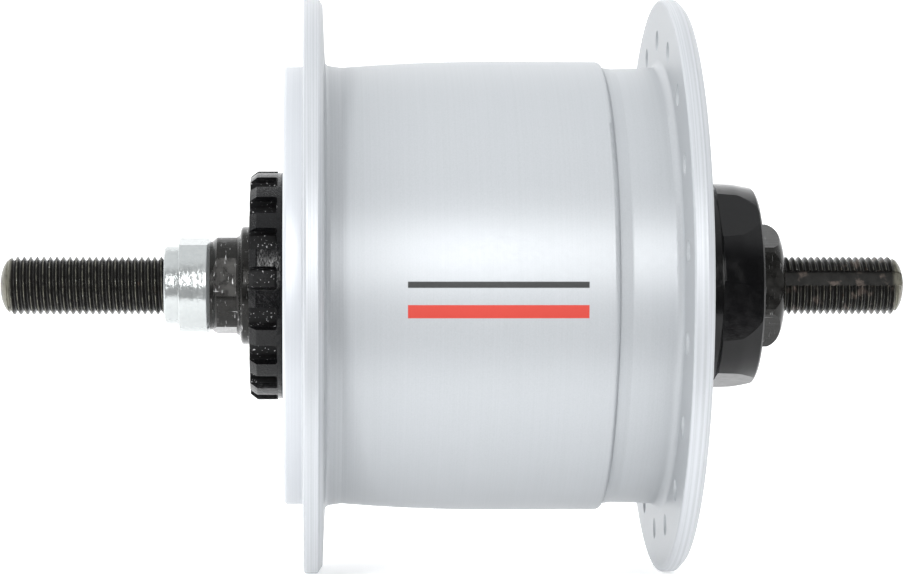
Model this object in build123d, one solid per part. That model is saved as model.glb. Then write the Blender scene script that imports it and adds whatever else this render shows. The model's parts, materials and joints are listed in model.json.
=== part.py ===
"""Front hub dynamo for a roller brake, with 36 spoke holes.

The axle lies along Y and its middle is the origin. +Y points to the brake side, -Y to the
terminal side, +X is forward and +Z is up. Angles about the axle start at +X and turn about +Y.
"""
from build123d import *
import os

# Axle
axle_length = 140.0
axle_radius = 4.5
axle_seat_radius = 4.2
axle_tip_round = 1.7
nut_mouth_radius = 4.6
groove_width = 2.4
groove_floor_radius = 3.1
groove_start_y = -23.5
groove_angle = 197.0

# Ball bearings: cup and cone
ball_radius = 4.7625 / 2
balls_per_race = 10
ball_pitch_radius = 8.2
race_clearance = 0.05
left_ball_y = 26.6
right_ball_y = -32.3
race_radius = ball_radius + race_clearance
cup_radius = 12.2
cup_bore_radius = 10.6
cup_hole_radius = 7.6
cup_length = 8.4
cup_floor = 4.0
cone_shoulder_radius = 8.2
cone_barrel_radius = 7.4
seal_hole_radius = 8.3
seal_thickness = 1.1
wrench_flats = 14.0

# Brake side stack, along +Y
left_seat_end_y = 31.2
cone_cover_end_y = 33.7
left_cone_end_y = 37.4
left_washer_end_y = 37.75
left_nut_step_y = 42.56
left_nut_end_y = 44.82
left_nut_nose_radius = 6.12
left_washer_radius = 6.85
cone_cover_radius = 9.1
left_cone_radius = 7.6
left_cone_flats = 4
left_cone_flat_angle = 10.4
left_nut_radius = 7.4
left_nut_flat_angle = 76.0

# Roller brake serration
serration_teeth = 18
serration_angle = 13.6
serration_radius = 17.65
serration_root_radius = 15.75
serration_bore_radius = 13.6
serration_start_y = 26.51
serration_collar_end_y = 27.4
serration_collar_radius = 17.45
serration_chamfer = 0.85
serration_end_y = 31.57
serration_gap_degrees = 11.5
serration_root_half_gap = 1.25
serration_gap_round = 0.45

# Shell
spokes_per_flange = 18
left_spoke_circle_radius = 39.0
right_spoke_circle_radius = 38.0
spoke_hole_radius = 1.25
spoke_countersink_radius = 1.65
left_spoke_angle = 17.0
right_spoke_angle = 7.4
flange_radius = 44.3
flange_rim_round = 0.5
flange_edge_drop = 1.1
left_flange_outer_y = 23.48
left_flange_rim_y = 21.3
left_flange_inner_y = 20.55
left_flange_base_y = 20.15
left_flange_base_radius = 34.0
left_lip_end_y = 26.4
left_lip_radius = 33.75
left_web_outer_y = 24.6
left_web_inner_y = 20.6
drum_bore_radius = 32.2
drum_left_radius = 33.65
drum_left_y = 17.75
drum_crown_radius = 34.45
drum_crown_y = 5.3
drum_radius = 34.7
drum_straight_y = -7.0
drum_step_y = -21.3
drum_end_y = -22.1
right_neck_radius = 33.85
neck_waist_radius = 33.6
neck_waist_y = -24.0
right_flange_inner_y = -31.3
right_flange_rim_y = -33.4
right_flange_outer_y = -34.4
right_web_inner_y = -30.4
right_boss_inner_y = -26.8
right_boss_end_y = -36.6
right_boss_radius = 14.5
spigot_end_y = -17.5
spigot_wall = 2.6
boss_hole_radius = 9.5
seal_ring_radius = 0.68

# Generator
stator_y = -2.0
stator_half_length = 13.0
claw_plate_thickness = 1.8
claws_per_plate = 14
claw_outer_radius = 27.65
claw_thickness = 2.0
claw_root_half_width = 2.35
claw_tip_half_width = 1.45
claw_tip_gap = 2.6
core_radius = 8.0
bobbin_wall = 1.0
bobbin_radius = 25.0
winding_radius = 23.6
magnet_inner_radius = 28.1
magnet_outer_radius = 30.9
magnet_segments = 4
magnet_segment_degrees = 89.4
stator_washer_radius = 9.6
stator_washer_thickness = 1.0
stator_nut_across_flats = 15.0
stator_nut_thickness = 4.0

# Coil lead
lead_radius = 0.5
lead_hole_radius = 0.7
lead_start_radius = 11.0
lead_bend_y = -21.5
lead_groove_radius = 3.65
lead_groove_y = -26.0
lead_bend = 1.0

# Terminal side stack, along -Y
right_cone_end_y = -36.9
right_washer_end_y = -37.7
cap_end_y = -46.15
cap_radius = 15.9
cap_base_radius = 15.0
cap_base_end_y = -39.8
cap_wall_radius = 13.4
cap_floor_y = -44.2
cap_flats = 6
cap_flat_apothem = 15.18
cap_flat_angle = 45.15
sleeve_radius = 6.2
contact_y = -41.6
contact_inner_radius = 9.0
contact_outer_radius = 10.0
contact_thickness = 0.8
earth_contact_y = -43.5
earth_contact_radius = 7.2
blade_z = 5.0
blade_end_x = 20.0
blade_width = 3.0
blade_y = -40.9
socket_half_width = 8.0
socket_end_x = 22.0
socket_floor_x = 15.0
socket_wall = 0.9
socket_outer_y = -43.9
socket_inner_y = -37.7
right_nut_across_flats = 17.0
right_nut_end_y = -50.44
right_nut_angle = 4.9
right_nut_face_radius = 7.3


def turned(*corners):
    """Solid turned about the axle from (radius, y) corners; a third number rounds a corner."""
    face = make_face(Polyline(*[corner[:2] for corner in corners], close=True))
    for corner in corners:
        if len(corner) == 3:
            vertex = face.vertices().sort_by_distance((corner[0], corner[1], 0))[0]
            face = fillet(vertex, corner[2])
    return revolve(face, Axis.Y)


def ring(inner_radius, outer_radius, y_a, y_b):
    """Plain ring about the axle between two places along it."""
    return turned((inner_radius, y_a), (outer_radius, y_a), (outer_radius, y_b), (inner_radius, y_b))


def block(x_a, x_b, y_a, y_b, z_a, z_b):
    """Box between two corners."""
    middle = Pos((x_a + x_b) / 2, (y_a + y_b) / 2, (z_a + z_b) / 2)
    return middle * Box(abs(x_b - x_a), abs(y_b - y_a), abs(z_b - z_a))


def around(shape, count, first_angle=0.0):
    """Copies of a shape spread evenly about the axle."""
    step = 360.0 / count
    return [Rot(0, first_angle + step * index, 0) * shape for index in range(count)]


def flats_cut(shape, across, y_a, y_b, count, angle):
    """Shape with wrench flats cut into it between two places along the axle."""
    tool = block(across / 2, 3 * across, y_a, y_b, -3 * across, 3 * across)
    return shape - around(tool, count, angle)


def ball_torus(ball_y):
    """Space that the balls sweep, with their running clearance."""
    return Pos(0, ball_y, 0) * Rot(90, 0, 0) * Torus(ball_pitch_radius, race_radius)


def save(shape, name):
    """Write one sub-part."""
    export_step(shape, f"parts/{name}.step")


def make_axle():
    """Axle with full-size ends, a seat for the fixed parts and the wire groove in its terminal end."""
    half = axle_length / 2
    rod = turned(
        (0, -half),
        (axle_radius, -half, axle_tip_round),
        (axle_radius, right_nut_end_y),
        (axle_seat_radius, right_nut_end_y),
        (axle_seat_radius, left_nut_end_y),
        (axle_radius, left_nut_end_y),
        (axle_radius, half, axle_tip_round),
        (0, half),
    )
    half_groove = groove_width / 2
    groove = block(groove_floor_radius, 2 * axle_radius, groove_start_y, -half - 1,
                   -half_groove, half_groove)
    save(rod - Rot(0, groove_angle, 0) * groove, "axle")


def make_bearing(side, ball_y, out):
    """Cup, balls, cage and seal of one bearing; out is +1 on the brake side and -1 opposite."""
    floor_y = ball_y - out * cup_floor
    mouth_y = floor_y + out * cup_length
    cup = ring(cup_hole_radius, cup_radius, floor_y, mouth_y)
    cup = cup - ball_torus(ball_y) - ring(1.0, cup_bore_radius, ball_y, mouth_y + out)
    save(cup, f"{side}_bearing_cup")

    ball = Pos(ball_pitch_radius, ball_y, 0) * Sphere(ball_radius)
    save(Compound(children=around(ball, balls_per_race)), f"{side}_balls")

    pocket = Pos(ball_pitch_radius, ball_y, 0) * Sphere(race_radius)
    cage_inner = ball_pitch_radius + 0.6
    cage_outer = cup_bore_radius - 0.3
    cage = ring(cage_inner, cage_outer, ball_y + out * 0.8, ball_y + out * 2.9)
    save(cage - around(pocket, balls_per_race), f"{side}_ball_cage")

    seal_y = mouth_y - out * seal_thickness
    save(ring(seal_hole_radius, cup_bore_radius, seal_y, mouth_y), f"{side}_seal")


def cone_race(ball_y, out, seat_end_y):
    """Hardened race end of a cone, up to the shoulder that the seal runs on."""
    race = ring(axle_seat_radius, cone_shoulder_radius, ball_y - out * 2.2, seat_end_y)
    throat = ring(ball_pitch_radius - race_radius, 3 * cone_shoulder_radius, ball_y - out * 3, ball_y)
    return race - ball_torus(ball_y) - throat


def make_left_cone_and_cover():
    """Brake side cone with four wrench flats, and the dust cover pressed on it."""
    barrel = turned(
        (axle_seat_radius, left_seat_end_y),
        (cone_barrel_radius, left_seat_end_y),
        (cone_barrel_radius, cone_cover_end_y),
        (left_cone_radius, cone_cover_end_y),
        (left_cone_radius, left_cone_end_y - 0.7),
        (left_cone_radius - 0.7, left_cone_end_y),
        (axle_seat_radius, left_cone_end_y),
    )
    barrel = flats_cut(barrel, wrench_flats, cone_cover_end_y, left_cone_end_y, left_cone_flats,
                       left_cone_flat_angle)
    save(cone_race(left_ball_y, 1, left_seat_end_y) + barrel, "left_cone")
    cover = turned(
        (cone_barrel_radius, left_seat_end_y),
        (cone_cover_radius, left_seat_end_y),
        (cone_cover_radius, cone_cover_end_y - 0.75, 0.5),
        (left_cone_radius + 0.2, cone_cover_end_y - 0.4, 0.3),
        (left_cone_radius - 0.05, cone_cover_end_y),
        (cone_barrel_radius, cone_cover_end_y),
    )
    save(cover, "left_cone_dust_cover")


def make_left_washer_and_nut():
    """Lock washer and stepped lock nut on the brake side."""
    washer = ring(axle_seat_radius, left_washer_radius, left_cone_end_y, left_washer_end_y)
    save(washer, "left_lock_washer")
    nut = turned(
        (axle_seat_radius, left_washer_end_y),
        (left_nut_radius - 0.6, left_washer_end_y),
        (left_nut_radius, left_washer_end_y + 0.5, 0.2),
        (left_nut_radius, left_nut_step_y, 0.25),
        (left_nut_nose_radius, left_nut_step_y),
        (left_nut_nose_radius, left_nut_end_y, 0.4),
        (nut_mouth_radius, left_nut_end_y),
        (axle_seat_radius, left_nut_end_y - 0.4),
    )
    nut = flats_cut(nut, wrench_flats, left_washer_end_y, left_nut_step_y, 2, left_nut_flat_angle)
    save(nut, "left_lock_nut")


def make_right_cone_and_washer():
    """Terminal side cone and its lock washer."""
    seat_end_y = right_boss_end_y - 0.1
    barrel = ring(axle_seat_radius, cone_barrel_radius, seat_end_y, right_cone_end_y)
    save(cone_race(right_ball_y, -1, seat_end_y) + barrel, "right_cone")
    washer = ring(axle_seat_radius, cone_barrel_radius, right_cone_end_y, right_washer_end_y)
    save(washer, "right_lock_washer")


def make_brake_serration():
    """Toothed ring that drives the brake, with a plain collar behind the teeth."""
    blank = turned(
        (serration_bore_radius, serration_start_y),
        (serration_collar_radius, serration_start_y, 0.3),
        (serration_collar_radius, serration_collar_end_y),
        (serration_radius, serration_collar_end_y),
        (serration_radius, serration_end_y - 1.1, 0.4),
        (serration_radius - serration_chamfer, serration_end_y, 0.15),
        (serration_bore_radius + 0.5, serration_end_y),
        (serration_bore_radius, serration_end_y - 0.5),
    )
    reach = serration_radius + 1
    slope = (Vector(serration_radius, 0).rotate(Axis.Z, serration_gap_degrees / 2).Y
             - serration_root_half_gap) / (serration_radius - serration_root_radius)
    mouth = serration_root_half_gap + slope * (reach - serration_root_radius)
    outline = Polyline(
        (serration_root_radius, -serration_root_half_gap),
        (reach, -mouth),
        (reach, mouth),
        (serration_root_radius, serration_root_half_gap),
        close=True,
    )
    gap = Rot(90, 0, 0) * extrude(make_face(outline), serration_end_y - serration_collar_end_y + 1)
    gap = Pos(0, serration_end_y + 1, 0) * gap
    gap = fillet(gap.faces().sort_by(Axis.Y)[0].edges(), serration_gap_round)
    half_pitch = 180.0 / serration_teeth
    save(blank - around(gap, serration_teeth, serration_angle + half_pitch), "brake_serration")


def spoke_holes(y_a, y_b, circle_radius, angle):
    """Countersunk spoke holes through a flange between its two faces."""
    deep = spoke_countersink_radius - spoke_hole_radius
    low, high = sorted((y_a, y_b))
    hole = turned(
        (0, low - 2),
        (spoke_countersink_radius + 2, low - 2),
        (spoke_hole_radius, low + deep),
        (spoke_hole_radius, high - deep),
        (spoke_countersink_radius + 2, high + 2),
        (0, high + 2),
    )
    return around(Pos(circle_radius, 0, 0) * hole, spokes_per_flange, angle)


def make_hub_shell():
    """Drum, left flange and left web in one piece."""
    crown = ThreePointArc(
        (drum_left_radius, drum_left_y),
        (drum_crown_radius, drum_crown_y),
        (drum_radius, drum_straight_y),
    )
    outline = Polyline(
        (drum_radius, drum_straight_y),
        (drum_radius, drum_end_y),
        (drum_bore_radius, drum_end_y),
        (drum_bore_radius, left_web_inner_y),
        (boss_hole_radius, left_web_inner_y),
        (boss_hole_radius, left_ball_y - cup_floor),
        (cup_radius, left_ball_y - cup_floor),
        (cup_radius, left_seat_end_y),
        (serration_bore_radius, left_seat_end_y),
        (serration_bore_radius, serration_start_y),
        (serration_bore_radius + 2.4, serration_start_y),
        (serration_bore_radius + 2.4, left_web_outer_y),
        (left_lip_radius - 2.2, left_web_outer_y),
        (left_lip_radius - 2.2, left_lip_end_y),
        (left_lip_radius, left_lip_end_y),
        (left_lip_radius, left_flange_outer_y),
        (flange_radius, left_flange_outer_y),
        (flange_radius, left_flange_rim_y),
        (flange_radius - flange_edge_drop, left_flange_inner_y),
        (left_flange_base_radius, left_flange_base_y),
        (drum_left_radius, drum_left_y),
    )
    face = make_face(crown.edges() + outline.edges())
    rounds = (
        (drum_radius, drum_end_y, drum_step_y - drum_end_y),
        (left_lip_radius, left_lip_end_y, 0.5),
        (left_lip_radius - 2.2, left_lip_end_y, 0.4),
        (left_lip_radius, left_flange_outer_y, 0.3),
        (flange_radius, left_flange_outer_y, flange_rim_round),
        (flange_radius, left_flange_rim_y, 0.3),
        (flange_radius - flange_edge_drop, left_flange_inner_y, 0.5),
        (left_flange_base_radius, left_flange_base_y, 0.8),
        (serration_bore_radius + 2.4, left_web_outer_y, 1.0),
        (drum_bore_radius, left_web_inner_y, 1.0),
    )
    for radius, y, round_radius in rounds:
        vertex = face.vertices().sort_by_distance((radius, y, 0))[0]
        face = fillet(vertex, round_radius)
    shell = revolve(face, Axis.Y)
    holes = spoke_holes(left_flange_inner_y, left_flange_outer_y, left_spoke_circle_radius,
                        left_spoke_angle)
    save(shell - holes, "hub_shell")


def make_right_flange():
    """Right flange, pressed into the drum by its spigot, and the seal ring between them."""
    groove_y = (spigot_end_y + drum_end_y) / 2
    flange = turned(
        (drum_bore_radius, spigot_end_y, 0.5),
        (drum_bore_radius, drum_end_y),
        (right_neck_radius, drum_end_y),
        (neck_waist_radius, neck_waist_y, 2.0),
        (right_neck_radius, right_flange_inner_y, 1.2),
        (flange_radius, right_flange_inner_y, flange_rim_round),
        (flange_radius, right_flange_rim_y, 0.3),
        (flange_radius - flange_edge_drop, right_flange_outer_y, 0.5),
        (31.5, right_flange_outer_y, 0.4),
        (30.5, right_flange_outer_y + 0.9, 0.4),
        (right_boss_radius + 1.2, right_flange_outer_y + 0.9, 0.6),
        (right_boss_radius, right_boss_end_y, 0.4),
        (cup_radius, right_boss_end_y),
        (cup_radius, right_ball_y + cup_floor),
        (boss_hole_radius, right_ball_y + cup_floor),
        (boss_hole_radius, right_boss_inner_y),
        (right_boss_radius, right_boss_inner_y, 0.5),
        (right_boss_radius, right_web_inner_y, 1.0),
        (drum_bore_radius - spigot_wall, right_web_inner_y, 1.0),
        (drum_bore_radius - spigot_wall, spigot_end_y),
    )
    groove_floor = drum_bore_radius - 2 * seal_ring_radius
    groove = ring(groove_floor, flange_radius, groove_y - seal_ring_radius, groove_y + seal_ring_radius)
    holes = spoke_holes(right_flange_inner_y, right_flange_outer_y, right_spoke_circle_radius,
                        right_spoke_angle)
    save(flange - groove - holes, "right_flange")
    seal = Torus(drum_bore_radius - seal_ring_radius, seal_ring_radius)
    save(Pos(0, groove_y, 0) * Rot(90, 0, 0) * seal, "shell_seal_ring")


def make_magnets():
    """Back iron pressed in the drum and the four magnet segments inside it."""
    low = stator_y - stator_half_length
    high = stator_y + stator_half_length
    save(ring(magnet_outer_radius, drum_bore_radius, low, high), "magnet_back_iron")
    outline = Polyline(
        (magnet_inner_radius, low),
        (magnet_outer_radius, low),
        (magnet_outer_radius, high),
        (magnet_inner_radius, high),
        close=True,
    )
    segment = revolve(make_face(outline), Axis.Y, magnet_segment_degrees)
    for index, piece in enumerate(around(segment, magnet_segments)):
        save(piece, f"magnet_segment_{index + 1}")


def claw_plate(out):
    """Pressed steel plate with tapered claws bent over the coil; out is its side of the coil."""
    outer_y = stator_y + out * stator_half_length
    inner_y = outer_y - out * claw_plate_thickness
    tip_y = stator_y - out * (stator_half_length - claw_tip_gap)
    disc = ring(axle_seat_radius, claw_outer_radius - claw_thickness, outer_y, inner_y)
    root_ring = claw_outer_radius - claw_thickness
    outline = Polyline(
        (outer_y, -claw_root_half_width),
        (outer_y, claw_root_half_width),
        (tip_y, claw_tip_half_width),
        (tip_y, -claw_tip_half_width),
        close=True,
    )
    wedge = extrude(Plane.YZ * make_face(outline), 2 * claw_outer_radius)
    claw = wedge & ring(root_ring, claw_outer_radius, outer_y, tip_y)
    phase = 0.0 if out > 0 else 180.0 / claws_per_plate
    return disc + around(claw, claws_per_plate, phase)


def lead_wire():
    """Insulated wire from the coil, down into the axle groove and up to the live contact."""
    start_y = stator_y - stator_half_length + claw_plate_thickness
    path = FilletPolyline(
        (lead_start_radius, start_y),
        (lead_start_radius, lead_bend_y),
        (lead_groove_radius, lead_groove_y),
        (lead_groove_radius, contact_y),
        (contact_inner_radius, contact_y),
        radius=lead_bend,
    )
    section = Plane(origin=path @ 0, z_dir=path % 0) * Circle(lead_radius)
    return Rot(0, groove_angle, 0) * sweep(section, path=path)


def make_stator():
    """Core, claw plates, bobbin, winding and clamping hardware on the axle."""
    inner_half = stator_half_length - claw_plate_thickness
    low = stator_y - inner_half
    high = stator_y + inner_half
    save(ring(axle_seat_radius, core_radius, low, high), "stator_core")
    lead_hole = ring(lead_start_radius - lead_hole_radius, lead_start_radius + lead_hole_radius,
                     low + 1, stator_y - stator_half_length - 1)
    half_slot = block(0, 2 * lead_start_radius, 0, -axle_length, -lead_hole_radius, lead_hole_radius)
    lead_hole = lead_hole & Rot(0, groove_angle, 0) * half_slot
    save(claw_plate(1), "left_claw_plate")
    save(claw_plate(-1) - lead_hole, "right_claw_plate")
    tube_radius = core_radius + bobbin_wall
    bobbin = turned(
        (core_radius, low),
        (bobbin_radius, low),
        (bobbin_radius, low + bobbin_wall),
        (tube_radius, low + bobbin_wall),
        (tube_radius, high - bobbin_wall),
        (bobbin_radius, high - bobbin_wall),
        (bobbin_radius, high),
        (core_radius, high),
    )
    save(bobbin, "coil_bobbin")
    winding = turned(
        (tube_radius, low + bobbin_wall),
        (winding_radius, low + bobbin_wall, 0.4),
        (winding_radius, high - bobbin_wall, 0.4),
        (tube_radius, high - bobbin_wall),
    )
    save(winding, "coil_winding")
    for side, out in (("left", 1), ("right", -1)):
        plate_y = stator_y + out * stator_half_length
        washer_y = plate_y + out * stator_washer_thickness
        nut_y = washer_y + out * stator_nut_thickness
        save(ring(axle_seat_radius, stator_washer_radius, plate_y, washer_y), f"{side}_stator_washer")
        nut = ring(axle_seat_radius, stator_washer_radius, washer_y, nut_y)
        nut = flats_cut(nut, stator_nut_across_flats, washer_y, nut_y, 6, 0)
        save(nut, f"{side}_stator_nut")
    save(lead_wire(), "coil_lead")


def live_contact():
    """Half ring that takes the coil lead round to its blade in the socket."""
    half = contact_thickness / 2
    arc = ring(contact_inner_radius, contact_outer_radius, contact_y - half, contact_y + half)
    arc = arc & block(-cap_radius, cap_radius, contact_y - 1, contact_y + 1, 1, cap_radius)
    blade = block(8.0, blade_end_x, blade_y - blade_width / 2, blade_y + blade_width / 2,
                  blade_z - half, blade_z + half)
    return arc + blade


def earth_contact():
    """Ring on the sleeve, earthed to the axle, with an arm to its blade in the socket."""
    half = contact_thickness / 2
    loop = ring(sleeve_radius, earth_contact_radius, earth_contact_y - half, earth_contact_y + half)
    arm = block(4.6, 14.0, earth_contact_y - half, earth_contact_y + half, -blade_z - half, -blade_z + half)
    riser = block(12.0, 14.0, earth_contact_y - half, blade_y + blade_width / 2,
                  -blade_z - half, -blade_z + half)
    blade = block(12.0, blade_end_x, blade_y - blade_width / 2, blade_y + blade_width / 2,
                  -blade_z - half, -blade_z + half)
    return loop + arm + riser + blade


def make_terminal():
    """Six-sided cap, insulating block with its socket, contacts and clamping sleeve."""
    cap = turned(
        (cap_wall_radius, right_cone_end_y),
        (cap_base_radius, right_cone_end_y),
        (cap_base_radius, cap_base_end_y),
        (cap_radius, cap_base_end_y, 0.15),
        (cap_radius - 0.1, cap_end_y + 3.2, 6.0),
        (cap_radius - 0.65, cap_end_y + 0.3, 0.15),
        (cap_radius - 1.0, cap_end_y),
        (sleeve_radius, cap_end_y),
        (sleeve_radius, cap_floor_y),
        (cap_wall_radius, cap_floor_y),
    )
    cap = flats_cut(cap, 2 * cap_flat_apothem, cap_base_end_y, cap_end_y - 1, cap_flats, cap_flat_angle)
    window = block(0, socket_end_x, socket_outer_y, socket_inner_y, -socket_half_width, socket_half_width)
    save(cap - window, "terminal_cap")

    start = groove_floor_radius - 1
    wire_hole = Pos(0, contact_y, 0) * Rot(0, groove_angle, 0) * Rot(0, 90, 0) * Cylinder(
        lead_hole_radius, cap_radius, align=(Align.CENTER, Align.CENTER, Align.MIN))
    sleeve = ring(axle_seat_radius, sleeve_radius, right_washer_end_y, cap_end_y)
    save(sleeve - wire_hole, "terminal_sleeve")

    insulator = ring(sleeve_radius, cap_wall_radius, right_washer_end_y, cap_floor_y)
    housing = block(10.0, socket_end_x, socket_outer_y, socket_inner_y,
                    -socket_half_width, socket_half_width)
    inner_half = socket_half_width - socket_wall
    cavity = block(socket_floor_x, socket_end_x + 1, socket_outer_y + socket_wall,
                   socket_inner_y - socket_wall, -inner_half, inner_half)
    short_hole = wire_hole & ring(start, contact_outer_radius, contact_y - 1, contact_y + 1)
    insulator = insulator + housing - cavity - short_hole
    save(insulator - live_contact() - earth_contact(), "terminal_block")
    save(live_contact(), "live_contact")
    save(earth_contact(), "earth_contact")


def make_right_nut():
    """Hexagon lock nut with a domed outer face."""
    corner_radius = right_nut_across_flats / 2 / 0.75 ** 0.5 - 0.25
    shoulder_y = right_nut_end_y + 1.9
    dome = ThreePointArc(
        (corner_radius, shoulder_y),
        (corner_radius - 0.75, right_nut_end_y + 0.7),
        (right_nut_face_radius, right_nut_end_y),
    )
    outline = Polyline(
        (right_nut_face_radius, right_nut_end_y),
        (nut_mouth_radius, right_nut_end_y),
        (axle_seat_radius, right_nut_end_y + 0.4),
        (axle_seat_radius, cap_end_y),
        (corner_radius - 0.6, cap_end_y),
        (corner_radius, cap_end_y - 0.4),
        (corner_radius, shoulder_y),
    )
    nut = revolve(make_face(dome.edges() + outline.edges()), Axis.Y)
    nut = flats_cut(nut, right_nut_across_flats, cap_end_y, right_nut_end_y, 6, right_nut_angle)
    save(nut, "right_lock_nut")


os.makedirs("parts", exist_ok=True)
make_axle()
make_bearing("left", left_ball_y, 1)
make_bearing("right", right_ball_y, -1)
make_left_cone_and_cover()
make_left_washer_and_nut()
make_right_cone_and_washer()
make_brake_serration()
make_hub_shell()
make_right_flange()
make_magnets()
make_stator()
make_terminal()
make_right_nut()
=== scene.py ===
"""Studio scene of a front hub dynamo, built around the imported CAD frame.

Lengths are in metres. The axle lies along Y: +Y is the brake side and -Y the terminal side.
Angles about the axle start at +X and turn about +Y.
"""
import json
import math

import bmesh
import bpy
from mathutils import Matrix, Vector


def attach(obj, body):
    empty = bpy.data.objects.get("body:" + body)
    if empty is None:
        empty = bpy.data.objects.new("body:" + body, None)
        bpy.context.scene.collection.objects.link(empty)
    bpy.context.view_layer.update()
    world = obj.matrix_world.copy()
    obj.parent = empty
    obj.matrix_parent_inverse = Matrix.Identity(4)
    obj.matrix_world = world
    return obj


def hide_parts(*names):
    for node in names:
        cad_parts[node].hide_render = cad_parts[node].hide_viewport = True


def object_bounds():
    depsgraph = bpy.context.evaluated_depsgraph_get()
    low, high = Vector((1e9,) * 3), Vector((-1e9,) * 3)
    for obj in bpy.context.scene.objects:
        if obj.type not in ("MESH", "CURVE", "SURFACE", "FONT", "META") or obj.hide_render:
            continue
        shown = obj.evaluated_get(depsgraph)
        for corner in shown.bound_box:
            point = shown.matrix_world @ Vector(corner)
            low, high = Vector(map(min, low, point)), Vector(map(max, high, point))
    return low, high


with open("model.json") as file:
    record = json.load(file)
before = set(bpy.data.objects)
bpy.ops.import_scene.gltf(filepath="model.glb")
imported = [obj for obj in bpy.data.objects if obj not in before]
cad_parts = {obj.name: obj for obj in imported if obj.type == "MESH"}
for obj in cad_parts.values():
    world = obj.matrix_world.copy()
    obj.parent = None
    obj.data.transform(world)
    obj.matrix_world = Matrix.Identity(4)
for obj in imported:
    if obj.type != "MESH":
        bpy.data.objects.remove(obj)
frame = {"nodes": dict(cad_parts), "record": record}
cad_low, cad_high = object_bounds()

MM = 0.001
ROOT = "axle_assembly"

# Axle, in millimetres, as in the CAD
axle_half_length = 70.0
axle_seat_radius = 4.2
left_nut_end_y = 44.82
right_nut_end_y = -50.44
groove_half_width = 1.2
groove_floor_radius = 3.1
groove_start_y = -23.5
groove_angle = 197.0

# Thread: places along one turn from its crest, with the radius there
thread_pitch = 1.0
thread_form = (
    (0.0, 4.49), (0.04, 4.48), (0.09, 4.42), (0.18, 4.26), (0.27, 4.10), (0.36, 3.95), (0.43, 3.90),
    (0.50, 3.885), (0.57, 3.90), (0.64, 3.95), (0.73, 4.10), (0.82, 4.26), (0.91, 4.42), (0.96, 4.48),
)
left_crest_y = 0.40
right_crest_y = 0.32
tip_dome_length = 1.85
tip_dome_radius = 4.25
nut_mouth_radius = 4.55
inside_nut = 0.5

# Turned marks, the painted highlight on the lip, and stripes in the shell's paint, in metres
rim_radius = 0.0432
lip_start_y = 0.0234
lip_inner_radius = 0.0312
drum_marks_y = (0.0120, 0.0185)
stripe_ends_y = (-0.0175, 0.0085)
dark_stripe_z = (-0.00035, 0.00055)
red_stripe_z = (-0.0047, -0.0028)


# ---------------------------------------------------------------- material helpers

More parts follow.
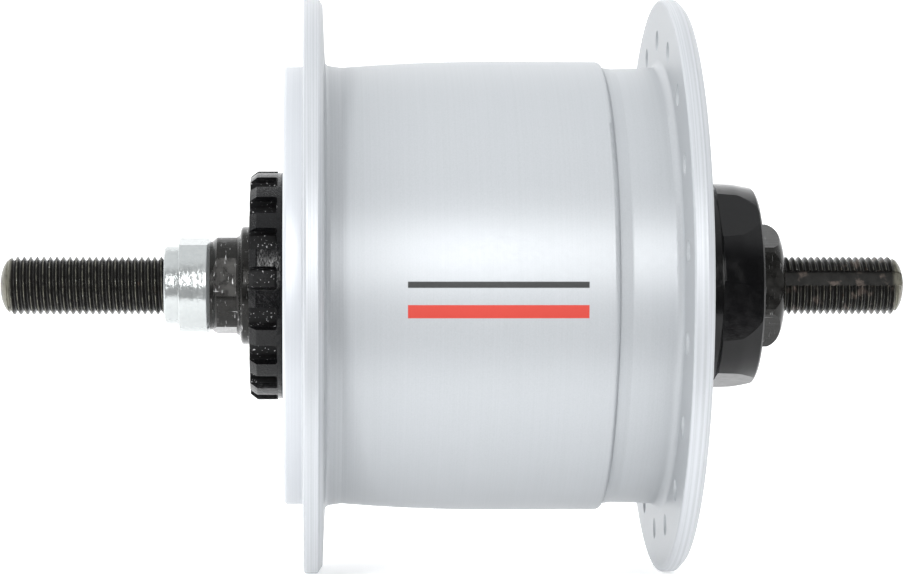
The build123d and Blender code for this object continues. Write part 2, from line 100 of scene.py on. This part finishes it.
class Shader:
    """One node material, built step by step."""

    def __init__(self, name):
        self.material = bpy.data.materials.new(name)
        self.material.use_nodes = True
        self.tree = self.material.node_tree
        self.bsdf = self.tree.nodes["Principled BSDF"]
        coordinates = self.node("ShaderNodeTexCoord")
        self.place = coordinates.outputs["Object"]
        split = self.node("ShaderNodeSeparateXYZ")
        self.link(self.place, split.inputs[0])
        self.x, self.y, self.z = split.outputs

    def node(self, kind, **settings):
        """New node with its settings."""
        made = self.tree.nodes.new(kind)
        for key, value in settings.items():
            setattr(made, key, value)
        return made

    def link(self, source, target):
        """Join two sockets."""
        self.tree.links.new(source, target)

    def put(self, value, socket):
        """Set a socket to a number, or join another socket to it."""
        if isinstance(value, (int, float, tuple)):
            socket.default_value = value
        else:
            self.link(value, socket)

    def math(self, operation, first, second=0.0, clamp=False):
        """One math node."""
        made = self.node("ShaderNodeMath", operation=operation, use_clamp=clamp)
        self.put(first, made.inputs[0])
        self.put(second, made.inputs[1])
        return made.outputs[0]

    def ramp(self, value, low, high, low_out=0.0, high_out=1.0):
        """Smooth step between two values."""
        made = self.node("ShaderNodeMapRange", interpolation_type="SMOOTHSTEP")
        self.put(value, made.inputs["Value"])
        made.inputs["From Min"].default_value = low
        made.inputs["From Max"].default_value = high
        made.inputs["To Min"].default_value = low_out
        made.inputs["To Max"].default_value = high_out
        return made.outputs["Result"]

    def band(self, value, low, high, factor):
        """Factor where value lies between low and high, else 0."""
        soft = 0.00006
        inside = self.math("MULTIPLY", self.ramp(value, low - soft, low + soft),
                           self.ramp(value, high - soft, high + soft, 1.0, 0.0))
        return self.math("MULTIPLY", inside, factor)

    def radius(self):
        """Distance from the axle."""
        x_square = self.math("MULTIPLY", self.x, self.x)
        z_square = self.math("MULTIPLY", self.z, self.z)
        return self.math("SQRT", self.math("ADD", x_square, z_square))

    def noise(self, size, detail=2.0, stretch=(1.0, 1.0, 1.0), roughness=0.5, place=None):
        """Noise with features about size metres across, stretched along the axes."""
        mapping = self.node("ShaderNodeMapping")
        self.link(place or self.place, mapping.inputs["Vector"])
        mapping.inputs["Scale"].default_value = tuple(1.0 / stretch[i] for i in range(3))
        made = self.node("ShaderNodeTexNoise")
        self.link(mapping.outputs["Vector"], made.inputs["Vector"])
        made.inputs["Scale"].default_value = 1.0 / size
        made.inputs["Detail"].default_value = detail
        made.inputs["Roughness"].default_value = roughness
        return made.outputs["Fac"]

    def mix(self, factor, first, second):
        """Mix two colours."""
        made = self.node("ShaderNodeMix", data_type="RGBA")
        self.put(factor, made.inputs["Factor"])
        for value, socket in ((first, made.inputs["A"]), (second, made.inputs["B"])):
            self.put((*value, 1.0) if isinstance(value, tuple) else value, socket)
        return made.outputs["Result"]

    def bump(self, turn_height_and_shade, depth, normal=None):
        """Surface relief; height 1 stands depth metres above height 0."""
        made = self.node("ShaderNodeBump")
        made.inputs["Strength"].default_value = 1.0
        made.inputs["Distance"].default_value = depth
        self.link(turn_height_and_shade, made.inputs["Height"])
        if normal is not None:
            self.link(normal, made.inputs["Normal"])
        return made.outputs["Normal"]

    def finish(self, color, roughness, metallic=0.0, normal=None, **numbers):
        """Connect the surface."""
        self.put((*color, 1.0) if isinstance(color, tuple) else color, self.bsdf.inputs["Base Color"])
        self.put(roughness, self.bsdf.inputs["Roughness"])
        self.put(metallic, self.bsdf.inputs["Metallic"])
        if normal is not None:
            self.link(normal, self.bsdf.inputs["Normal"])
        for key, value in numbers.items():
            self.bsdf.inputs[key.replace("_", " ")].default_value = value
        return self.material


def silver_paint():
    """Satin silver paint with a metallic grain, lathe marks, a lip lightened as a painted highlight,
    and two plain stripes.
    """
    s = Shader("silver_paint")
    grain = s.noise(0.00022, detail=1.0)
    cloud = s.noise(0.012, detail=3.0)
    color = s.mix(grain, (0.352, 0.368, 0.382), (0.422, 0.438, 0.452))
    color = s.mix(s.math("MULTIPLY", cloud, 0.15), color, (0.35, 0.375, 0.415))
    radius = s.radius()
    on_rim = s.ramp(radius, rim_radius, rim_radius + 0.0005)
    on_brake_side = s.ramp(s.y, lip_start_y, lip_start_y + 0.0004)
    turned = s.math("MAXIMUM", on_rim, on_brake_side)
    turned = s.math("MAXIMUM", turned, s.ramp(s.y, *drum_marks_y, 0.12, 0.28))
    lathe = s.noise(0.00016, detail=2.0, stretch=(400.0, 1.0, 400.0))
    color = s.mix(s.math("MULTIPLY", turned, s.ramp(lathe, 0.35, 0.65)), color, (0.46, 0.475, 0.50))
    # Painted highlight: the lip's colour is lightened to stand in for the key light's reflection on
    # it.
    lip_ring = s.ramp(radius, lip_inner_radius, lip_inner_radius + 0.0004, 0.0, 0.75)
    lip_highlight = s.math("MULTIPLY", on_brake_side, lip_ring)
    color = s.mix(lip_highlight, color, (0.60, 0.62, 0.65))
    front = s.ramp(s.x, -0.001, -0.002)
    length = s.band(s.y, *stripe_ends_y, front)
    dark_stripe = s.band(s.z, *dark_stripe_z, length)
    red_stripe = s.band(s.z, *red_stripe_z, length)
    color = s.mix(dark_stripe, color, (0.022, 0.024, 0.024))
    color = s.mix(red_stripe, color, (0.52, 0.045, 0.030))
    normal = s.bump(grain, 0.0000015)
    normal = s.bump(s.math("MULTIPLY", lathe, turned), 0.00002, normal)
    rough = s.ramp(grain, 0.3, 0.7, 0.38, 0.46)
    return s.finish(color, rough, metallic=0.25, normal=normal)


def black_gloss(name, uneven_size, uneven_depth, pimple_depth, dull_radius=0.0):
    """Gloss black enamel on an uneven surface, dull and specked nearer the axle than dull_radius."""
    s = Shader(name)
    uneven = s.noise(uneven_size, detail=3.0)
    pimples = s.ramp(s.noise(0.00022, detail=2.0), 0.52, 0.72)
    normal = s.bump(uneven, uneven_depth)
    normal = s.bump(pimples, pimple_depth, normal)
    color = s.mix(s.noise(0.0004), (0.0015, 0.0015, 0.0018), (0.0045, 0.0045, 0.005))
    rough = s.ramp(uneven, 0.3, 0.7, 0.12, 0.22)
    if dull_radius:
        deep = s.ramp(s.radius(), dull_radius, dull_radius + 0.0003, 1.0, 0.0)
        speck = s.ramp(s.noise(0.00035, detail=2.0), 0.66, 0.70)
        color = s.mix(s.math("MULTIPLY", deep, speck), color, (0.50, 0.50, 0.51))
        rough = s.math("ADD", rough, s.math("MULTIPLY", deep, 0.35))
    return s.finish(color, rough, normal=normal, Specular_IOR_Level=0.30)


def black_oxide():
    """Black oxide steel with bright scratches along and around it, fewer on the terminal side."""
    s = Shader("black_oxide")
    blotch = s.noise(0.0013, detail=4.0)
    scratches = s.noise(0.00035, detail=3.0, stretch=(1.0, 14.0, 1.0))
    around = s.noise(0.00026, detail=3.0, stretch=(7.0, 1.0, 7.0))
    bare = s.math("MAXIMUM", s.ramp(scratches, 0.69, 0.76), s.ramp(around, 0.64, 0.70))
    bare = s.math("MULTIPLY", bare, s.ramp(s.y, -0.02, 0.02, 0.30, 1.0))
    color = s.mix(blotch, (0.008, 0.008, 0.0075), (0.026, 0.025, 0.023))
    color = s.mix(bare, color, (0.42, 0.42, 0.42))
    normal = s.bump(scratches, 0.00002)
    rough = s.ramp(blotch, 0.3, 0.7, 0.14, 0.24)
    return s.finish(color, rough, metallic=0.5, normal=normal, Specular_IOR_Level=0.36)


def axle_oxide():
    """Black oxide thread, rubbed grey on its crests and lighter grey on its domed tips, with bare and
    rusty specks.
    """
    s = Shader("axle_oxide")
    blotch = s.noise(0.0011, detail=4.0)
    patches = s.noise(0.0009, detail=3.0, stretch=(1.0, 0.4, 1.0))
    crest = s.math("MULTIPLY", s.ramp(s.radius(), 0.00438, 0.00448), s.ramp(patches, 0.35, 0.6))
    # The domed tips are lightened to grey in patches.
    tip = s.ramp(s.math("ABSOLUTE", s.y), 0.0678, 0.0686)
    grey_crests_and_tips = s.math("MAXIMUM", s.math("MULTIPLY", crest, s.ramp(s.y, -0.05, 0.044, 0.45, 0.8)),
                  s.math("MULTIPLY", tip, s.ramp(patches, 0.2, 0.5)))
    speck = s.ramp(s.noise(0.0003, detail=2.0), 0.69, 0.73)
    rust = s.ramp(s.noise(0.0016, detail=3.0), 0.66, 0.74)
    color = s.mix(blotch, (0.010, 0.010, 0.010), (0.030, 0.029, 0.026))
    color = s.mix(grey_crests_and_tips, color, (0.15, 0.145, 0.115))
    color = s.mix(s.math("MULTIPLY", speck, crest), color, (0.55, 0.55, 0.55))
    dust = s.ramp(s.noise(0.0022, detail=4.0), 0.56, 0.68)
    dust = s.math("MULTIPLY", dust, s.ramp(s.y, -0.050, -0.053))
    color = s.mix(s.math("MULTIPLY", rust, 0.5), color, (0.055, 0.030, 0.018))
    color = s.mix(s.math("MULTIPLY", dust, 0.55), color, (0.17, 0.135, 0.115))
    normal = s.bump(s.noise(0.0002, detail=2.0), 0.00001)
    rough = s.math("SUBTRACT", s.ramp(blotch, 0.3, 0.7, 0.30, 0.42), s.math("MULTIPLY", crest, 0.18))
    return s.finish(color, rough, metallic=0.55, normal=normal)


def bright_zinc():
    """Bright zinc plating with fine turning lines and soft clouds."""
    s = Shader("bright_zinc")
    lines = s.noise(0.00018, detail=2.0, stretch=(60.0, 1.0, 60.0))
    clouds = s.noise(0.0007, detail=3.0)
    color = s.mix(clouds, (0.44, 0.465, 0.465), (0.54, 0.56, 0.555))
    normal = s.bump(lines, 0.000004)
    normal = s.bump(clouds, 0.00006, normal)
    return s.finish(color, s.ramp(clouds, 0.3, 0.7, 0.13, 0.26), metallic=0.70, normal=normal)


def steel(name, dark, light, roughness, size=0.0008):
    """Plain machined or pressed steel."""
    s = Shader(name)
    grain = s.noise(size, detail=4.0)
    normal = s.bump(grain, 0.00001)
    rough = s.ramp(grain, 0.3, 0.7, roughness, roughness + 0.12)
    return s.finish(s.mix(grain, dark, light), rough, metallic=1.0, normal=normal)


def moulded(name, dark, light, roughness, size=0.0006):
    """Moulded plastic or rubber with a fine eggshell surface."""
    s = Shader(name)
    grain = s.noise(size, detail=3.0)
    normal = s.bump(grain, 0.00002)
    rough = s.ramp(grain, 0.3, 0.7, roughness, roughness + 0.1)
    return s.finish(s.mix(grain, dark, light), rough, normal=normal)


def copper_turns():
    """Enamelled copper wire wound in turns beside each other, darker between the turns as painted
    shade.
    """
    s = Shader("copper_turns")
    turn_pitch = 0.0006
    wave = s.math("SINE", s.math("MULTIPLY", s.y, 2 * math.pi / turn_pitch))
    turn_height_and_shade = s.ramp(wave, -1.0, 1.0)
    # Painted shade: the colour darkens in the creases between turns; the same height also drives the
    # bump.
    color = s.mix(turn_height_and_shade, (0.20, 0.07, 0.03), (0.62, 0.27, 0.12))
    return s.finish(color, 0.25, metallic=1.0, normal=s.bump(turn_height_and_shade, 0.0002))


def dress_cad_nodes():
    """Give every CAD node its material."""
    silver = silver_paint()
    oxide = black_oxide()
    zinc = bright_zinc()
    ground = steel("ground_steel", (0.42, 0.42, 0.43), (0.58, 0.58, 0.60), 0.14)
    iron = steel("core_iron", (0.18, 0.18, 0.19), (0.32, 0.32, 0.33), 0.38)
    ferrite = steel("ferrite", (0.05, 0.05, 0.055), (0.10, 0.10, 0.11), 0.45)
    brass = steel("contact_brass", (0.58, 0.44, 0.18), (0.78, 0.62, 0.30), 0.24)
    rubber = moulded("seal_rubber", (0.012, 0.012, 0.012), (0.03, 0.03, 0.03), 0.6)
    plastic = moulded("black_plastic", (0.012, 0.012, 0.013), (0.024, 0.024, 0.026), 0.42)
    red = moulded("red_insulation", (0.30, 0.02, 0.015), (0.42, 0.035, 0.025), 0.4)
    by_slot = {
        "silver_paint": silver,
        "black_gloss_steel": black_gloss("black_casting", 0.0011, 0.00007, 0.00002, 0.0166),
        "black_cap": black_gloss("black_cap", 0.0016, 0.00002, 0.000003),
        "black_steel": oxide,
        "axle_steel": axle_oxide(),
        "zinc_steel": zinc,
        "race_steel": ground,
        "ball_steel": ground,
        "cage_steel": iron,
        "core_iron": iron,
        "magnet": ferrite,
        "copper_wire": copper_turns(),
        "bobbin_plastic": plastic,
        "insulator": plastic,
        "contact_brass": brass,
        "lead_insulation": red,
        "rubber": rubber,
    }
    for part in frame["record"]["subparts"]:
        node = frame["nodes"][part["node"]]
        node.data.materials.clear()
        node.data.materials.append(by_slot[part["material_slot"]])
    return by_slot


def round_edges():
    """Break the sharp edges of the outer black and zinc parts."""
    for name, width in (
        ("brake_serration", 0.10), ("terminal_cap", 0.12), ("right_lock_nut", 0.10),
        ("left_cone", 0.08), ("left_lock_nut", 0.08), ("left_cone_dust_cover", 0.06),
    ):
        node = frame["nodes"][name]
        bevel = node.modifiers.new("broken_edges", "BEVEL")
        bevel.width = width * MM
        bevel.segments = 2
        bevel.limit_method = "ANGLE"
        bevel.angle_limit = math.radians(24)
        bevel.harden_normals = True


# ---------------------------------------------------------------- threaded axle

def section(radius, grooved, columns=48):
    """Outline of the axle across its length: (angle, x, z), with the wire groove if it has one."""
    half = math.asin(groove_half_width / radius)
    start = math.radians(groove_angle)
    points = []
    for column in range(columns):
        angle = start + half + (2 * math.pi - 2 * half) * column / (columns - 1)
        points.append((angle, radius * math.cos(angle), -radius * math.sin(angle)))
    floor_angle = math.atan2(groove_half_width, groove_floor_radius) if grooved else half / 3
    reach = math.hypot(groove_floor_radius, groove_half_width) if grooved else radius
    for side in (-1, 1):
        place = start + side * floor_angle
        points.append((place + 2 * math.pi, reach * math.cos(place), -reach * math.sin(place)))
    return points


def threaded_end(mesh, face_y, tip_y, crest_y, grooved):
    """One threaded end of the axle, from inside its nut to its domed tip, crests at crest_y on top."""
    out = 1 if tip_y > face_y else -1
    low, high = sorted((face_y - out * inside_nut, tip_y))
    steps = len(thread_form)
    spare_turns = 3
    quarter_turn = 0.25
    first_turn = math.floor(low - spare_turns)
    rows = []
    for row in range(int(high - low + 2 * spare_turns) * steps):
        place, radius = thread_form[row % steps]
        base = first_turn + row // steps + place + crest_y + quarter_turn
        rows.append([
            mesh.verts.new((x, base + thread_pitch * angle / (2 * math.pi), z))
            for angle, x, z in section(radius, grooved)
        ])
    columns = len(rows[0])
    for row in range(len(rows) - 1):
        for column in range(columns):
            near, far = rows[row], rows[row + 1]
            if column + 1 < columns:
                mesh.faces.new((near[column], near[column + 1], far[column + 1], far[column]))
            elif row + steps + 1 < len(rows):
                next_near, next_far = rows[row + steps], rows[row + steps + 1]
                mesh.faces.new((near[column], next_near[0], next_far[0], far[column]))
    for plane_y, keep in ((low, 1), (high, -1)):
        bmesh.ops.bisect_plane(
            mesh, geom=mesh.verts[:] + mesh.edges[:] + mesh.faces[:], plane_co=(0, plane_y, 0),
            plane_no=(0, 1, 0), clear_inner=keep > 0, clear_outer=keep < 0, dist=0.00001)
    mouth_cuts = [face_y, face_y - out * 0.45]
    dome_cuts = [tip_y - out * drop for drop in (1.2, 0.8, 0.5, 0.3, 0.15, 0.05)]
    for plane_y in mouth_cuts + dome_cuts:
        bmesh.ops.bisect_plane(
            mesh, geom=mesh.verts[:] + mesh.edges[:] + mesh.faces[:], plane_co=(0, plane_y, 0),
            plane_no=(0, 1, 0), dist=0.00001)
    dome_y = tip_y - out * tip_dome_length
    for vertex in mesh.verts:
        x, y, z = vertex.co
        depth = out * (face_y - y)
        limit = max(nut_mouth_radius - depth, axle_seat_radius - 0.1)
        beyond = out * (y - dome_y) / (tip_dome_length + 0.02)
        if beyond > 0:
            limit = tip_dome_radius * math.sqrt(1 - beyond ** 2)
        reach = math.hypot(x, z)
        if reach > limit:
            vertex.co = (x * limit / reach, y, z * limit / reach)
    bmesh.ops.holes_fill(mesh, edges=[edge for edge in mesh.edges if edge.is_boundary])


def plain_rod(mesh, stations):
    """Closed rod through (y, grooved) stations."""
    rings = [
        [mesh.verts.new((x, y, z)) for _, x, z in section(axle_seat_radius, grooved)]
        for y, grooved in stations
    ]
    for near, far in zip(rings, rings[1:]):
        for column in range(len(near)):
            after = (column + 1) % len(near)
            mesh.faces.new((near[column], near[after], far[after], far[column]))
    mesh.faces.new(rings[0])
    mesh.faces.new(rings[-1])


def make_axle(material):
    """Axle with its real thread, in place of the plain CAD rod."""
    rod_stations = (
        (right_nut_end_y + 0.4, True),
        (groove_start_y, True),
        (groove_start_y + 0.01, False),
        (left_nut_end_y - 0.4, False),
    )
    left_end, right_end, rod = bmesh.new(), bmesh.new(), bmesh.new()
    threaded_end(left_end, left_nut_end_y, axle_half_length, left_crest_y, False)
    threaded_end(right_end, right_nut_end_y, -axle_half_length, right_crest_y, True)
    plain_rod(rod, rod_stations)
    whole = bmesh.new()
    for part in (left_end, right_end, rod):
        piece = bpy.data.meshes.new("axle_part")
        part.to_mesh(piece)
        part.free()
        whole.from_mesh(piece)
        bpy.data.meshes.remove(piece)
    bmesh.ops.scale(whole, vec=(MM, MM, MM), verts=whole.verts[:])
    bmesh.ops.remove_doubles(whole, verts=whole.verts[:], dist=0.0000001)
    bmesh.ops.triangulate(whole, faces=[face for face in whole.faces if len(face.verts) > 4])
    bmesh.ops.recalc_face_normals(whole, faces=whole.faces[:])
    mesh = bpy.data.meshes.new("axle_threaded")
    whole.to_mesh(mesh)
    whole.free()
    mesh.set_sharp_from_angle(angle=math.radians(40))
    mesh.materials.append(material)
    axle = bpy.data.objects.new("axle_threaded", mesh)
    bpy.context.scene.collection.objects.link(axle)
    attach(axle, ROOT)
    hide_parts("axle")


# ---------------------------------------------------------------- studio

daylight = (0.97, 0.985, 1.0)


def add_area(name, place, target, size, power):
    """Soft box aimed at a point; returns the lamp."""
    light = bpy.data.lights.new(name, "AREA")
    light.shape = "RECTANGLE"
    light.size, light.size_y = size
    light.energy = power
    lamp = bpy.data.objects.new(name, light)
    lamp.location = place
    lamp.rotation_euler = (Vector(target) - Vector(place)).to_track_quat("-Z", "Y").to_euler()
    bpy.context.scene.collection.objects.link(lamp)
    return lamp


def make_world():
    """Even pale light tent."""
    world = bpy.data.worlds.new("light_tent")
    world.use_nodes = True
    background = world.node_tree.nodes["Background"]
    background.inputs["Strength"].default_value = 0.95
    background.inputs["Color"].default_value = (*daylight, 1.0)
    bpy.context.scene.world = world


def make_dark_card():
    """Dark side of the studio: on the floor and round the camera, and only reflections see it."""
    mesh = bpy.data.meshes.new("dark_card")
    above_floor_z = cad_low.z + 0.001
    front_x = -0.072
    radius = 0.62
    width = 1.0
    profile = [(front_x, above_floor_z)]
    for degrees in range(-4, 68, 4):
        angle = math.radians(degrees)
        profile.append((-radius * math.cos(angle), radius * math.sin(angle)))
    vertices = [(x, side * width, z) for x, z in profile for side in (-1, 1)]
    faces = [(2 * i, 2 * i + 1, 2 * i + 3, 2 * i + 2) for i in range(len(profile) - 1)]
    mesh.from_pydata(vertices, [], faces)
    card = bpy.data.objects.new("dark_card", mesh)
    bpy.context.scene.collection.objects.link(card)
    s = Shader("dark_card")
    rise = s.math("ARCTAN2", s.z, s.math("MULTIPLY", s.x, -1.0))
    glow = s.ramp(rise, math.radians(30), math.radians(62), 0.07, 0.90)
    s.put(glow, s.bsdf.inputs["Emission Strength"])
    s.bsdf.inputs["Emission Color"].default_value = (*daylight, 1.0)
    color = s.mix(s.noise(0.2), (0.01, 0.01, 0.01), (0.02, 0.02, 0.02))
    mesh.materials.append(s.finish(color, 1.0))
    card.visible_camera = False
    card.visible_diffuse = False
    card.visible_shadow = False
    card.visible_transmission = False


def make_floor():
    """Pale floor that curves up into a backdrop behind the object."""
    mesh = bpy.data.meshes.new("studio_floor")
    floor_z = cad_low.z
    width = 4.0
    bend = 0.5
    back = 1.6
    reach = 2.5
    profile = [(-reach, floor_z), (back - bend, floor_z)]
    steps = 16
    for step in range(1, steps + 1):
        angle = math.pi / 2 * step / steps
        rise = bend * (1 - math.cos(angle))
        profile.append((back - bend + bend * math.sin(angle), floor_z + rise))
    profile.append((back, reach))
    vertices = [(x, side * width, z) for x, z in profile for side in (-1, 1)]
    faces = [(2 * i, 2 * i + 1, 2 * i + 3, 2 * i + 2) for i in range(len(profile) - 1)]
    mesh.from_pydata(vertices, [], faces)
    for polygon in mesh.polygons:
        polygon.use_smooth = True
    floor = bpy.data.objects.new("studio_floor", mesh)
    bpy.context.scene.collection.objects.link(floor)
    s = Shader("pale_floor")
    color = s.mix(s.noise(0.3), (0.90, 0.90, 0.90), (0.93, 0.93, 0.93))
    material = s.finish(color, 0.8, Emission_Strength=0.45)
    s.bsdf.inputs["Emission Color"].default_value = (1.0, 1.0, 1.0, 1.0)
    mesh.materials.append(material)


def make_camera():
    """Camera level with the axle, square to it but for a few degrees."""
    distance = 0.430
    turn = math.radians(2.9)
    aim_y = 0.54 * MM
    camera_data = bpy.data.cameras.new("camera")
    camera_data.lens = 110.44
    camera_data.sensor_width = 36.0
    camera_data.clip_start = 0.01
    camera = bpy.data.objects.new("camera", camera_data)
    camera.location = (-distance * math.cos(turn), aim_y + distance * math.sin(turn), -0.22 * MM)
    camera.rotation_euler = (math.pi / 2, 0.0, -math.pi / 2 - turn)
    bpy.context.scene.collection.objects.link(camera)
    bpy.context.scene.camera = camera


def make_lights():
    """Key and glint, which only reflections see, and soft boxes, which only lighten surfaces."""
    key = add_area("key_light", (-0.45, -0.010, 0.122), (0, 0, 0), (0.07, 0.23), 0.90)
    glint = add_area("glint_light", (-0.45, 0.06, 0.045), (0, 0.04, 0), (0.04, 0.04), 0.014)
    for light in (key, glint):
        light.visible_diffuse = False
    front = add_area("front_box", (-0.42, 0.15, 0.10), (0, 0, 0), (0.07, 0.07), 1.0)
    top = add_area("top_box", (0.0, 0.0, 0.75), (0, 0, 0), (0.9, 0.9), 3.0)
    side = add_area("side_box", (-0.12, 0.55, 0.42), (0, -0.03, 0.03), (0.35, 0.35), 0.7)
    for light in (front, top, side):
        light.visible_glossy = False


materials = dress_cad_nodes()
round_edges()
make_axle(materials["axle_steel"])
make_world()
make_floor()
make_dark_card()
make_lights()
make_camera()
bpy.context.scene.view_settings.view_transform = "Standard"

bpy.context.view_layer.update()
